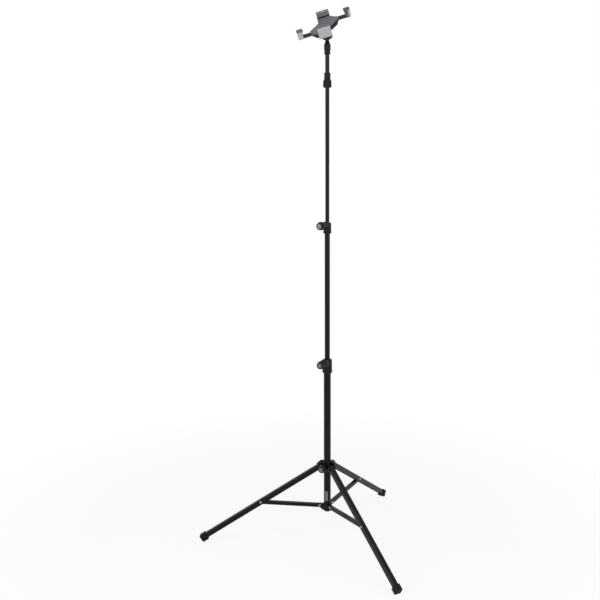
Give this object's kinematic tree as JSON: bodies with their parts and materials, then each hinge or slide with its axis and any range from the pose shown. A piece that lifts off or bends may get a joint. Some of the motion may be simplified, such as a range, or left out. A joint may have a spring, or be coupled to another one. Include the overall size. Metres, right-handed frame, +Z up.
{
  "type": "floor phone stand",
  "caption": "Folding floor tripod with a telescoping mast, clamp knobs and a four-jaw phone clamp on a ball joint.",
  "frame": {"origin": "on the floor, in the middle of the footprint's box; the mast stands 97.9 mm towards +X from it", "axes": "+Z up along the mast, +X from the single leg towards the pair, -Y towards the side that the clamp faces"},
  "size_m": [0.6204, 0.7164, 1.6447],
  "materials": {
    "black_paint": "satin black powder coat",
    "black_moulding": "fine-grained moulded nylon",
    "knob_plastic": "moulded plastic",
    "badge_metal": "brushed disc",
    "bright_steel": "zinc plated",
    "dark_steel": "blackened steel",
    "nylon": "natural nylon",
    "black_rubber": "matt rubber",
    "grip_rubber": "matt soft rubber",
    "light_moulding": "satin moulded plastic",
    "slate_plate": "satin moulded plastic",
    "dark_housing": "moulded plastic"
  },
  "bodies": {
    "base": {"main_tube": "black_paint", "brace_hub": "black_moulding", "hub_rivets": "bright_steel", "lower_clamp": "black_moulding", "lower_clamp_screw": "dark_steel", "lower_pressure_pad": "nylon"},
    "leg_slider": {"leg_collar": "black_moulding", "leg_pivot_rivets": "dark_steel", "leg_collar_pressure_pad": "nylon"},
    "leg_slider_knob": {"leg_collar_knob": "knob_plastic", "leg_collar_knob_badge": "badge_metal", "leg_collar_knob_stud": "bright_steel"},
    "lower_knob": {"lower_knob": "knob_plastic", "lower_knob_badge": "badge_metal", "lower_knob_stud": "bright_steel"},
    "upper_knob": {"upper_knob": "knob_plastic", "upper_knob_badge": "badge_metal", "upper_knob_stud": "bright_steel"},
    "middle_section": {"middle_tube": "black_paint", "middle_bush": "nylon", "upper_clamp": "black_moulding", "upper_clamp_screw": "dark_steel", "upper_pressure_pad": "nylon"},
    "top_section": {"top_tube": "black_paint", "top_bush": "nylon", "tube_ferrule": "dark_steel"},
    "coupling": {"coupling_nut": "black_moulding"},
    "head_rod": {"head_rod": "black_paint", "rod_cap": "black_moulding", "ball_stud": "dark_steel"},
    "socket_ring": {"ring_nut": "dark_housing", "ball_liner": "nylon"},
    "phone_clamp": {"front_plate": "slate_plate", "back_housing": "dark_housing", "housing_screws": "dark_steel"},
    "pinion": {"pinion": "nylon"},
    "left_claw": {"left_arm": "dark_housing", "left_claw": "light_moulding", "left_grip": "grip_rubber"},
    "right_claw": {"right_arm": "dark_housing", "right_claw": "light_moulding", "right_grip": "grip_rubber"},
    "near_jaw": {"near_jaw": "light_moulding", "near_pad": "grip_rubber"},
    "far_jaw": {"far_jaw": "light_moulding", "far_pad": "grip_rubber"},
    "brace_1": {"brace_1": "black_paint"},
    "leg_1": {"leg_1": "black_paint", "leg_rivet_1": "bright_steel", "foot_1": "black_rubber"},
    "brace_2": {"brace_2": "black_paint"},
    "leg_2": {"leg_2": "black_paint", "leg_rivet_2": "bright_steel", "foot_2": "black_rubber"},
    "brace_3": {"brace_3": "black_paint"},
    "leg_3": {"leg_3": "black_paint", "leg_rivet_3": "bright_steel", "foot_3": "black_rubber"}
  },
  "joints": [
    {"name": "tripod_fold", "type": "slide", "parent": "base", "child": "leg_slider", "axis": [0, 0, 1], "range_m": [0, 0.27838]},
    {"name": "brace_1_hinge", "type": "hinge", "parent": "base", "child": "brace_1", "pos_m": [0.07391, 0, 0.1209], "axis": [0, 1, 0], "range_deg": [0, 82.95]},
    {"name": "leg_1_hinge", "type": "hinge", "parent": "brace_1", "child": "leg_1", "pos_m": [-0.11374, 0, 0.13238], "axis": [0, 1, 0], "range_deg": [-137.25, 0]},
    {"name": "brace_2_hinge", "type": "hinge", "parent": "base", "child": "brace_2", "pos_m": [0.10991, -0.02079, 0.1209], "axis": [-0.866, -0.5, 0], "range_deg": [0, 82.95]},
    {"name": "leg_2_hinge", "type": "hinge", "parent": "brace_2", "child": "leg_2", "pos_m": [0.20373, -0.18329, 0.13238], "axis": [-0.866, -0.5, 0], "range_deg": [-137.25, 0]},
    {"name": "brace_3_hinge", "type": "hinge", "parent": "base", "child": "brace_3", "pos_m": [0.10991, 0.02079, 0.1209], "axis": [0.866, -0.5, 0], "range_deg": [0, 82.95]},
    {"name": "leg_3_hinge", "type": "hinge", "parent": "brace_3", "child": "leg_3", "pos_m": [0.20373, 0.18329, 0.13238], "axis": [0.866, -0.5, 0], "range_deg": [-137.25, 0]},
    {"name": "leg_slider_knob_turn", "type": "hinge", "parent": "leg_slider", "child": "leg_slider_knob", "pos_m": [0.08104, -0.02923, 0.25285], "axis": [-0.5, -0.866, 0], "range_deg": [0, 360]},
    {"name": "lower_knob_turn", "type": "hinge", "parent": "base", "child": "lower_knob", "pos_m": [0.07729, -0.03572, 0.5919], "axis": [-0.5, -0.866, 0], "range_deg": [0, 360]},
    {"name": "upper_knob_turn", "type": "hinge", "parent": "middle_section", "child": "upper_knob", "pos_m": [0.07729, -0.03572, 1.0189], "axis": [-0.5, -0.866, 0], "range_deg": [0, 360]},
    {"name": "middle_tube_slide", "type": "slide", "parent": "base", "child": "middle_section", "axis": [0, 0, 1], "range_m": [-0.3894, 0]},
    {"name": "top_tube_slide", "type": "slide", "parent": "middle_section", "child": "top_section", "axis": [0, 0, 1], "range_m": [-0.3884, 0]},
    {"name": "coupling_turn", "type": "hinge", "parent": "top_section", "child": "coupling", "pos_m": [0.09791, 0, 1.4289], "axis": [0, 0, 1], "range_deg": [0, 360]},
    {"name": "head_swivel", "type": "hinge", "parent": "top_section", "child": "head_rod", "pos_m": [0.09791, 0, 1.4399], "axis": [0, 0, 1], "continuous": true},
    {"name": "head_tilt", "type": "hinge", "parent": "head_rod", "child": "socket_ring", "pos_m": [0.09791, 0, 1.5629], "axis": [0.9345, -0.3561, 0], "range_deg": [-84.76, 5.24]},
    {"name": "head_spin", "type": "hinge", "parent": "socket_ring", "child": "phone_clamp", "pos_m": [0.09791, 0, 1.5629], "axis": [-0.2277, -0.5976, 0.7688], "continuous": true},
    {"name": "clamp_open", "type": "slide", "parent": "phone_clamp", "child": "left_claw", "axis": [-0.9588, 0, -0.284], "range_m": [-0.002, 0.01]},
    {"name": "right_claw_slide", "type": "slide", "parent": "phone_clamp", "child": "right_claw", "axis": [0.9588, 0, 0.284], "range_m": [-0.00201, 0.01001]},
    {"name": "near_jaw_slide", "type": "slide", "parent": "phone_clamp", "child": "near_jaw", "axis": [0.1697, -0.8018, -0.573], "range_m": [-0.00201, 0.01001]},
    {"name": "far_jaw_slide", "type": "slide", "parent": "phone_clamp", "child": "far_jaw", "axis": [-0.1697, 0.8018, 0.573], "range_m": [-0.00201, 0.01001]},
    {"name": "pinion_turn", "type": "hinge", "parent": "phone_clamp", "child": "pinion", "pos_m": [0.08857, -0.0245, 1.59442], "axis": [-0.2277, -0.5976, 0.7688], "range_deg": [-71.63, 14.33]}
  ],
  "couplings": [
    {"joint": "brace_1_hinge", "follows": "tripod_fold", "rad_per_m": 5.2001},
    {"joint": "leg_1_hinge", "follows": "tripod_fold", "rad_per_m": -8.6045},
    {"joint": "brace_2_hinge", "follows": "tripod_fold", "rad_per_m": 5.2001},
    {"joint": "leg_2_hinge", "follows": "tripod_fold", "rad_per_m": -8.6045},
    {"joint": "brace_3_hinge", "follows": "tripod_fold", "rad_per_m": 5.2001},
    {"joint": "leg_3_hinge", "follows": "tripod_fold", "rad_per_m": -8.6045},
    {"joint": "right_claw_slide", "follows": "clamp_open", "ratio": 1},
    {"joint": "near_jaw_slide", "follows": "clamp_open", "ratio": 1},
    {"joint": "far_jaw_slide", "follows": "clamp_open", "ratio": 1},
    {"joint": "pinion_turn", "follows": "clamp_open", "rad_per_m": -125}
  ]
}
